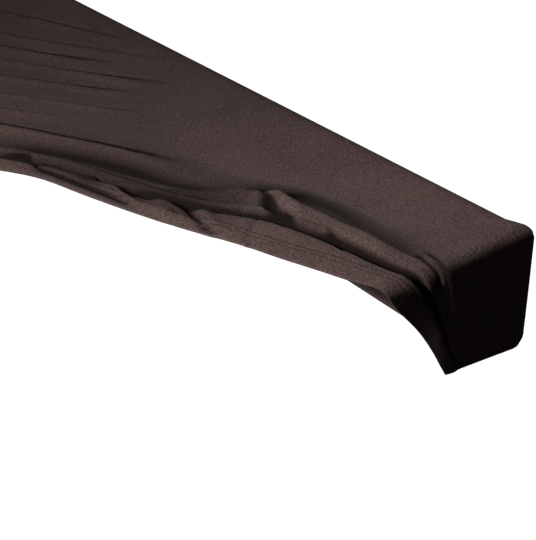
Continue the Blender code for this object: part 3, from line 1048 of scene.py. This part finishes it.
@dataclass(frozen=True)
class ThreadFinish:
    """Dark sewing thread of two twisted plies."""

    dark: Colour = (0.006, 0.0045, 0.0040, 1.0)
    light: Colour = (0.030, 0.021, 0.019, 1.0)
    twist: float = 0.0011
    fuzz_scale: float = 2600.0

    def material(self) -> bpy.types.Material:
        """Makes the thread's plies, with their twist across the stitch.

        Returns:
            The thread's material.
        """
        graph = Graph("dark_sewing_thread")
        place = graph.node("ShaderNodeTexCoord")["Object"]
        split = graph.parts(place)
        twist = ((split["X"] + split["Y"] + split["Z"]) * (2 * math.pi / self.twist)).wave() * 0.5 + 0.5
        fuzz = graph.noise(place, self.fuzz_scale)
        share = twist * 0.55 + fuzz * 0.45
        colour, normal = graph.mix(share, self.dark, self.light), graph.bumped(share, 0.0001, 0.6)
        return graph.finish(Base_Color=colour, Roughness=0.7 + fuzz * 0.25, Normal=normal, Specular_IOR_Level=0.05)


@dataclass(frozen=True)
class FloorFinish:
    """Plain pale floor, bright enough to read as white."""

    colour: Colour = (0.92, 0.92, 0.92, 1.0)
    light: Colour = (1.0, 1.0, 1.0, 1.0)
    glow: float = 1.05
    cloud_scale: float = 0.9

    def material(self) -> bpy.types.Material:
        """Makes the pale floor, with a faint unevenness.

        Returns:
            The floor's material.
        """
        graph = Graph("pale_floor")
        place = graph.node("ShaderNodeTexCoord")["Object"]
        rough = 0.85 + (graph.noise(place, self.cloud_scale) - 0.5) * 0.1
        return graph.finish(
            Base_Color=self.colour, Roughness=rough, Emission_Color=self.light, Emission_Strength=self.glow
        )


def added(name: str, data: bpy.types.ID) -> bpy.types.Object:
    """Puts new data in the scene.

    Args:
        name: The object's name.
        data: Its mesh, camera or lamp.

    Returns:
        The new object.
    """
    made = bpy.data.objects.new(name, data)
    bpy.context.scene.collection.objects.link(made)
    return made


@dataclass(frozen=True)
class Lamp:
    """A soft rectangular lamp: its place and target, width and height, power in watts and angle of spread."""

    name: str
    place: Triple
    target: Triple
    size: Pair
    power: float
    spread: float

    def add(self) -> None:
        """Adds the lamp, with its width level."""
        data = bpy.data.lights.new(self.name, "AREA")
        data.shape = "RECTANGLE"
        data.size, data.size_y = self.size
        data.energy = self.power
        data.spread = math.radians(self.spread)
        back = unit(np.array(self.place, float) - self.target)
        right = unit(np.cross((0, 1, 0) if back[2] > 0.9 else (0, 0, 1), back))
        matrix = np.eye(4)
        matrix[:3] = np.stack([right, np.cross(back, right), back, self.place], -1)
        added(self.name, data).matrix_world = Matrix(matrix.tolist())


@dataclass(frozen=True)
class Studio:
    """Camera, floor and soft light: a low key in front, weak lamps above the right end and the middle, and a fill.

    turn, rise and roll are the camera's angles in degrees: round the vertical from the front, above the horizon and
    round its own axis.
    """

    eye: Triple = (1.1101, -0.4604, 0.3878)
    turn: float = 56.088
    rise: float = 26.383
    roll: float = 1.127
    focal_pixels: float = 1283.0
    frame_pixels: float = 540.0
    sensor: float = 36.0
    clip: Pair = (0.01, 100.0)
    floor_z: float = -0.78
    floor_size: float = 40.0
    lamps: tuple[Lamp, ...] = (
        Lamp("key", (0.45, -0.54, 0.27), (0.45, 0.05, 0.0), (0.14, 0.14), 5.8, 170.0),
        Lamp("top", (0.49, 0.17, 0.42), (0.49, 0.15, 0.0), (0.06, 0.10), 0.33, 120.0),
        Lamp("side", (-0.12, 0.06, 0.62), (-0.22, 0.0, 0.0), (0.20, 0.20), 0.42, 130.0),
    )
    fill: float = 0.04

    def add_camera(self) -> None:
        """Sets up the camera beside the lifted corner, a little above it."""
        data = bpy.data.cameras.new("camera")
        data.sensor_width = self.sensor
        data.lens = self.focal_pixels / self.frame_pixels * self.sensor
        data.clip_start, data.clip_end = self.clip
        camera = added("camera", data)
        camera.matrix_world = (
            Matrix.Translation(self.eye)
            @ Matrix.Rotation(math.radians(self.turn), 4, "Z")
            @ Matrix.Rotation(math.radians(90 - self.rise), 4, "X")
            @ Matrix.Rotation(math.radians(self.roll), 4, "Z")
        )
        bpy.context.scene.camera = camera

    def add_floor(self) -> None:
        """Adds the plain pale floor."""
        half = self.floor_size / 2
        corners = [(x * half, y * half, self.floor_z) for x, y in ((-1, -1), (1, -1), (1, 1), (-1, 1))]
        mesh = bpy.data.meshes.new("floor")
        mesh.from_pydata(corners, [], [(0, 1, 2, 3)])
        mesh.materials.append(FloorFinish().material())
        floor = added("floor", mesh)
        floor.visible_diffuse = False
        floor.visible_glossy = False

    def add_light(self) -> None:
        """Adds the lamps and the even fill, shown without a film's tone curve."""
        for lamp in self.lamps:
            lamp.add()
        world = bpy.data.worlds.new("studio")
        world.use_nodes = True
        background = world.node_tree.nodes["Background"]
        background.inputs["Color"].default_value = (1, 1, 1, 1)
        background.inputs["Strength"].default_value = self.fill
        bpy.context.scene.world = world
        bpy.context.scene.view_settings.view_transform = "Standard"


@dataclass
class Surface:
    """The cloth's outer side.

    faces are arrays of vertex numbers, columns the vertex numbers of the two groups of columns that start at the
    hem, and painted_shade says how much painted shade each point gets in its grooves, creases and folds' shadows,
    from 0 to 1.
    """

    points: np.ndarray
    run: np.ndarray
    faces: list[np.ndarray]
    columns: list[np.ndarray]
    painted_shade: np.ndarray

    def from_hem(self) -> np.ndarray:
        """Measures the cloth from the hem to each point.

        Returns:
            Lengths in metres, and a metre on the plain top.
        """
        distance = np.ones(len(self.points))
        for ids in self.columns:
            steps = np.linalg.norm(np.diff(self.points[ids], axis=1), axis=-1)
            distance[ids[:, 1:]] = np.cumsum(steps, axis=1)
            distance[ids[:, 0]] = 0
        return distance

    def along_hem(self, values: np.ndarray, distance: float) -> np.ndarray:
        """Reads a closed line that keeps a distance from the hem.

        Args:
            values: The points' values, (n, 3).
            distance: The line's distance from the hem.

        Returns:
            The values on the line, one row for each column and the first again.
        """
        places, from_hem = [], self.from_hem()
        for ids in self.columns:
            share = np.clip((distance - from_hem[ids[:, :-1]]) / np.diff(from_hem[ids], axis=1), 0, 1)
            steps = np.diff(values[ids], axis=1) * share[..., None]
            places.append(values[ids[:, 0]] + steps.sum(1))
        return np.concatenate(places + [places[0][:1]])


@dataclass
class CoverCloth:
    """The cover itself: one thin sheet of stretch knit.

    A band of columns runs all round it, from the hem over the walls and the folds to a loop on the plain top, and a
    ruled grid fills the loop. ring_parts and plain_ring_parts are the numbers of rings between the marks of the
    columns, beside the lifted corner and elsewhere. loop_x and loop_y are half the loop's sides, left_loop the x of
    its front side in millimetres and left_parts the numbers of columns between them.
    """

    form: Form
    ring_parts: tuple[int, ...] = (6, 5, 5, 7, 8, 8, 8, 8, 7, 6, 5)
    plain_ring_parts: tuple[int, ...] = (2, 2, 1, 2, 1, 3, 3, 1, 2, 1, 3)
    gathering: float = 0.05
    top_rows: int = 54
    loop_x: float = 0.488
    loop_y: float = 0.120
    fan: float = 0.016
    straight_from: float = 0.060
    left_loop: tuple[float, ...] = (-488, -472, -440, -235, -62)
    left_parts: tuple[int, ...] = (10, 6, 20, 37)
    end_from: float = 0.122
    end_columns: int = 4

    def corner_places(self, loop_x: np.ndarray, start: float) -> tuple[np.ndarray, np.ndarray]:
        """Core x and turn in degrees from the x axis for columns whose inner ends are at loop_x.

        The first columns from a corner fan round it, the next spread along the core, and the others stand straight
        out from their inner ends.

        Args:
            loop_x: x of the inner ends.
            start: The corner's side, -1 for the left and 1 for the right.

        Returns:
            Core x, and the turn from 0 at the corner's end wall to 90.
        """
        away = self.loop_x - start * loop_x
        margin = self.form.core_x - self.loop_x
        straight = np.array([self.straight_from, 1.0])
        core = np.interp(away, (0, self.fan, *straight), (0, 0, *(straight + margin)))
        return start * (self.form.core_x - core), np.clip(away / self.fan, 0, 1) * 90

    def left_side(self) -> Sections:
        """Columns of the left end, from the back to the front.

        Returns:
            The sections.
        """
        y = np.linspace(self.loop_y, -self.loop_y, self.top_rows + 1)[:-1]
        core = pairs(-self.form.core_x, y * self.form.core_y / self.loop_y)
        return tight_sections(self.form, core, np.full(len(y), 180.0), pairs(-self.loop_x, y))

    def front_left(self) -> Sections:
        """Columns of the front left corner and the front's stretched half.

        Returns:
            The sections.
        """
        x = straight_rows(np.array(self.left_loop) * MM, steps_of(self.left_parts))[:-1]
        core_x, turn = self.corner_places(x, -1)
        return tight_sections(self.form, pairs(core_x, -self.form.core_y), 180 + turn, pairs(x, -self.loop_y))

    def end_side(self) -> Sections:
        """The last columns of the right end, behind the lifted corner's.

        Returns:
            The sections.
        """
        y = np.linspace(self.end_from, self.form.core_y, self.end_columns)
        loop = np.full((len(y), 2), (self.loop_x, self.loop_y))
        return tight_sections(self.form, pairs(self.form.core_x, y), np.zeros(len(y)), loop)

    def back_side(self, front_x: np.ndarray) -> Sections:
        """Columns of the back and its two corners, from the left to the right.

        Args:
            front_x: x of the front's inner ends, one for each column.

        Returns:
            The sections.
        """
        share = (front_x - front_x[0]) / (front_x[-1] - front_x[0])
        x = (2 * share - 1) * self.loop_x
        left_core, left_turn = self.corner_places(x, -1)
        right_core, right_turn = self.corner_places(x, 1)
        core = pairs(np.where(x < 0, left_core, right_core), self.form.core_y)
        turn = np.where(x < 0, 180 - left_turn, right_turn)
        return tight_sections(self.form, core, turn, pairs(x, self.loop_y))

    def sections(self) -> tuple[Sections, Sections, int]:
        """Works out the columns all round the cover.

        Returns:
            The columns of the front and both ends, those of the back, and the number of the first that are plain.
        """
        left, front = self.left_side(), self.front_left()
        side = Sections.joined([left, front, LiftedCorner(self.form).build(), self.end_side()])
        back = self.back_side(side.tight[self.top_rows : -self.top_rows, -1, 0])
        return side, back, len(left.tight) + len(front.tight)

    def net(self) -> tuple[list[np.ndarray], np.ndarray, np.ndarray, list[np.ndarray], list[np.ndarray]]:
        """The flat net of the sheet: the lifted corner's columns, the plain columns all round and the plain top.

        Returns:
            Run coordinates of each group's points, all the points' heights and painted shade, the vertex numbers of
            the two groups of columns, and the face arrays.
        """
        side, back, plain = self.sections()
        front_edge, back_edge = side.tight[self.top_rows : -self.top_rows, -1], back.tight[:, -1]
        shares = np.arange(self.top_rows + 1) / self.top_rows
        top = front_edge[:, None] + (back_edge - front_edge)[:, None] * shares[None, :, None]
        for marks in (side.tight, side.slack):
            marks[-self.top_rows - 1 :, -1] = top[-1]

        fine = side.part(slice(plain, None))
        around = Sections.joined([back.part(slice(-2, 0, -1)), side.part(slice(0, plain))])
        fine_steps = gathered(steps_of(self.ring_parts), self.gathering)
        plain_steps = steps_of(self.plain_ring_parts)
        plain_top = top[1:-1, 1:-1]
        flat = np.zeros(plain_top.shape[:2])
        groups = zip(fine.rings(fine_steps), around.rings(plain_steps), (plain_top, flat, flat))
        runs, *layers = (list(group) for group in groups)
        heights, painted_shade_depths = (np.concatenate([part.ravel() for part in layer]) for layer in layers)
        starts = np.cumsum([0] + [run[..., 0].size for run in runs])
        fine_ids, around_ids, top_ids = (
            start + np.arange(run[..., 0].size).reshape(run.shape[:2]) for start, run in zip(starts, runs)
        )
        behind = len(back_edge) - 2
        grid = self.top_grid(fine_ids[:, -1], around_ids[:behind, -1], around_ids[behind:, -1], top_ids)
        faces = [strip_faces(fine_ids), strip_faces(around_ids), strip_faces(grid)]
        faces.append(zip_faces(fine_ids[-1], around_ids[0], fine_steps, plain_steps))
        faces.append(zip_faces(around_ids[-1], fine_ids[0], plain_steps, fine_steps))
        return runs, heights, painted_shade_depths, [fine_ids, around_ids], faces

    def top_grid(self, fine: np.ndarray, back: np.ndarray, left: np.ndarray, inside: np.ndarray) -> np.ndarray:
        """Joins the inside of the plain top to the inner ends of the columns round it.

        Args:
            fine: Vertex numbers of the inner ends beside the lifted corner.
            back: Those of the back.
            left: Those of the left end and the plain front.
            inside: Those of the top's inside.

        Returns:
            Vertex numbers of the whole top, (rows, columns).
        """
        side = np.concatenate([left, fine])
        grid = np.zeros((inside.shape[0] + 2, inside.shape[1] + 2), int)
        grid[1:-1, 1:-1] = inside
        grid[:, 0] = side[self.top_rows : -self.top_rows]
        grid[1:-1, -1] = back[::-1]
        grid[0] = side[: self.top_rows + 1][::-1]
        grid[-1] = side[-self.top_rows - 1 :]
        return grid

    def surface(self) -> Surface:
        """Lays the net on the form and raises its folds and wrinkles.

        Returns:
            The cloth's outer side.
        """
        runs, heights, painted_shade_depths, columns, faces = self.net()
        run = np.concatenate([group.reshape(-1, 2) for group in runs])
        folds = Folds()
        places, normals = self.form.wrap(run)
        points = places + normals * (heights + folds.wide_lift(run))[:, None]
        small = folds.small_lift(run)
        points = points + point_normals(points, faces) * small[:, None]
        # Painted shade: the marks' shade plus the small folds' troughs, full where a trough is as low as full_depth.
        painted_shade = np.clip(painted_shade_depths, 0, 1) + np.clip(-small / folds.full_depth, 0, 1)
        return Surface(points, run, faces, columns, np.clip(painted_shade, 0, 1))

    def build(self) -> tuple[bpy.types.Object, bpy.types.Object]:
        """Makes the cloth with its thickness, and the thread of its hem.

        Returns:
            The cloth and the thread.
        """
        surface = self.surface()
        mesh = mesh_from("cover_cloth", surface.points, surface.faces)
        corners = np.zeros(len(mesh.loops), np.int32)
        mesh.loops.foreach_get("vertex_index", corners)
        mesh.uv_layers.new(name="run").data.foreach_set("uv", surface.run[corners].astype(np.float32).ravel())
        # The crease attribute carries the painted shade to the material.
        for name, values in (("crease", surface.painted_shade), ("hem", surface.from_hem())):
            mesh.attributes.new(name, "FLOAT", "POINT").data.foreach_set("value", values.astype(np.float32))
        mesh.materials.append(KnitFinish().material())
        cloth = added("cover_cloth", mesh)
        wall = cloth.modifiers.new("cloth thickness", "SOLIDIFY")
        wall.thickness = self.form.thickness
        wall.offset = -1.0
        return cloth, HemThread().build(surface)


@dataclass(frozen=True)
class HemThread:
    """The two rows of stitches that hold the turned-up hem: short threads laid on the cloth along its whole edge."""

    rows: tuple[float, ...] = (0.0125, 0.0165)
    pitch: float = 0.0034
    length: float = 0.0026
    radius: float = 0.00032
    sides: int = 6
    profile: Marks = ((-0.5, 0.15), (-0.38, 0.8), (0.0, 1.0), (0.38, 0.8), (0.5, 0.15))

    def stitches(self, surface: Surface) -> list[np.ndarray]:
        """Places the stitches along their rows.

        Args:
            surface: The cloth's outer side.

        Returns:
            The stitches' middles, the directions in which they run and the cloth's normals there.
        """
        rows, normals = [], point_normals(surface.points, surface.faces)
        for distance in self.rows:
            line, out = (surface.along_hem(values, distance) for values in (surface.points, normals))
            lengths = np.concatenate([[0], np.cumsum(np.linalg.norm(np.diff(line, axis=0), axis=-1))])
            at = np.arange(int(lengths[-1] / self.pitch)) * self.pitch
            here, ahead, normal = (
                np.stack([np.interp(place, lengths, values[:, k]) for k in range(3)], -1)
                for place, values in ((at, line), (at + MM, line), (at, out))
            )
            along = unit(ahead - here)
            rows.append((here, along, unit(normal - along * np.sum(normal * along, -1, keepdims=True))))
        return [np.concatenate(group) for group in zip(*rows)]

    def build(self, surface: Surface) -> bpy.types.Object:
        """Makes all the stitches as one object: closed tubes through the rings of the profile.

        Args:
            surface: The cloth's outer side.

        Returns:
            The thread.
        """
        centre, along, normal = self.stitches(surface)
        beside = np.cross(normal, along)
        turn = np.arange(self.sides) / self.sides * 2 * math.pi
        place, wide = np.array(self.profile).T
        ring = wide[:, None, None] * self.radius * pairs(np.cos(turn), np.sin(turn))
        body = centre[:, None, None] + along[:, None, None] * (place * self.length)[:, None, None]
        body = body + beside[:, None, None] * ring[None, ..., :1] + normal[:, None, None] * ring[None, ..., 1:]
        rings, count = len(place), len(centre)
        ids = np.arange(count * rings * self.sides).reshape(count, rings, self.sides)
        around = np.roll(ids, -1, axis=2)
        walls = np.stack([ids[:, :-1], around[:, :-1], around[:, 1:], ids[:, 1:]], -1).reshape(-1, 4)
        caps = np.concatenate([ids[:, 0, ::-1], ids[:, -1]])
        mesh = mesh_from("hem_thread", body.reshape(-1, 3), [walls, caps])
        mesh.materials.append(ThreadFinish().material())
        return added("hem_thread", mesh)


def point_normals(points: np.ndarray, faces: list[np.ndarray]) -> np.ndarray:
    """Outward normals of the points, averaged over their faces by area.

    Args:
        points: Points, (n, 3).
        faces: Arrays of vertex numbers, three or four to a row.

    Returns:
        Normals of length one, (n, 3).
    """
    normals = np.zeros_like(points)
    for group in faces:
        a, b, c, d = (points[group[:, k]] for k in (0, 1, 2, -1))
        area = np.cross(b - a, d - a) if group.shape[1] == 3 else np.cross(c - a, d - b)
        for k in range(group.shape[1]):
            for axis in range(3):
                normals[:, axis] += np.bincount(group[:, k], area[:, axis], len(points))
    return unit(normals)


def strip_faces(ids: np.ndarray) -> np.ndarray:
    """Four-cornered faces between the neighbouring columns of a grid of vertex numbers."""
    here, there = ids[:-1], ids[1:]
    return np.stack([here[:, :-1], there[:, :-1], there[:, 1:], here[:, 1:]], -1).reshape(-1, 4)


def zip_faces(here: np.ndarray, there: np.ndarray, steps_here: np.ndarray, steps_there: np.ndarray) -> np.ndarray:
    """Triangles between two columns with different numbers of points.

    Both columns are walked by the marks they pass; each step takes the next point of one column and makes a
    triangle with the last points of both.

    Args:
        here: Vertex numbers of the left column.
        there: Vertex numbers of the right column.
        steps_here: Places of the left column's points, counted in marks.
        steps_there: Places of the right column's points.

    Returns:
        The triangles' vertex numbers.
    """
    order = np.argsort(np.concatenate([steps_here[1:], steps_there[1:]]), kind="stable")
    from_here = order < len(steps_here) - 1
    at_here = np.cumsum(from_here) - from_here
    at_there = np.cumsum(~from_here) - ~from_here
    next_here = here[np.minimum(at_here + 1, len(here) - 1)]
    next_there = there[np.minimum(at_there + 1, len(there) - 1)]
    faces = np.stack([here[at_here], there[at_there], np.where(from_here, next_here, next_there)], -1)
    real = (faces[:, 0] != faces[:, 1]) & (faces[:, 1] != faces[:, 2]) & (faces[:, 0] != faces[:, 2])
    return faces[real]


def mesh_from(name: str, points: np.ndarray, faces: list[np.ndarray]) -> bpy.types.Mesh:
    """Makes a smooth-shaded mesh.

    Args:
        name: The mesh's name.
        points: Points, (n, 3).
        faces: Arrays of vertex numbers, each with its own number of corners to a row.

    Returns:
        The mesh.
    """
    mesh = bpy.data.meshes.new(name)
    sizes = np.concatenate([np.full(len(group), group.shape[1]) for group in faces])
    corners = np.concatenate([group.ravel() for group in faces]).astype(np.int32)
    starts = np.concatenate([[0], np.cumsum(sizes)[:-1]]).astype(np.int32)
    mesh.vertices.add(len(points))
    mesh.vertices.foreach_set("co", points.astype(np.float32).ravel())
    mesh.loops.add(len(corners))
    mesh.loops.foreach_set("vertex_index", corners)
    mesh.polygons.add(len(sizes))
    mesh.polygons.foreach_set("loop_start", starts)
    mesh.update(calc_edges=True)
    mesh.validate()
    mesh.shade_smooth()
    return mesh


def main() -> None:
    """Builds the cover and its studio."""
    logging.basicConfig(level=logging.INFO, format="%(name)s: %(message)s")
    studio = Studio()
    studio.add_camera()
    studio.add_floor()
    studio.add_light()
    cloth, thread = CoverCloth(Form()).build()
    for piece in (cloth, thread):
        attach(piece, "root")
        LOG.info("%s: %d faces", piece.name, len(piece.data.polygons))
    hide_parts("cover")


if __name__ == "__main__":
    main()
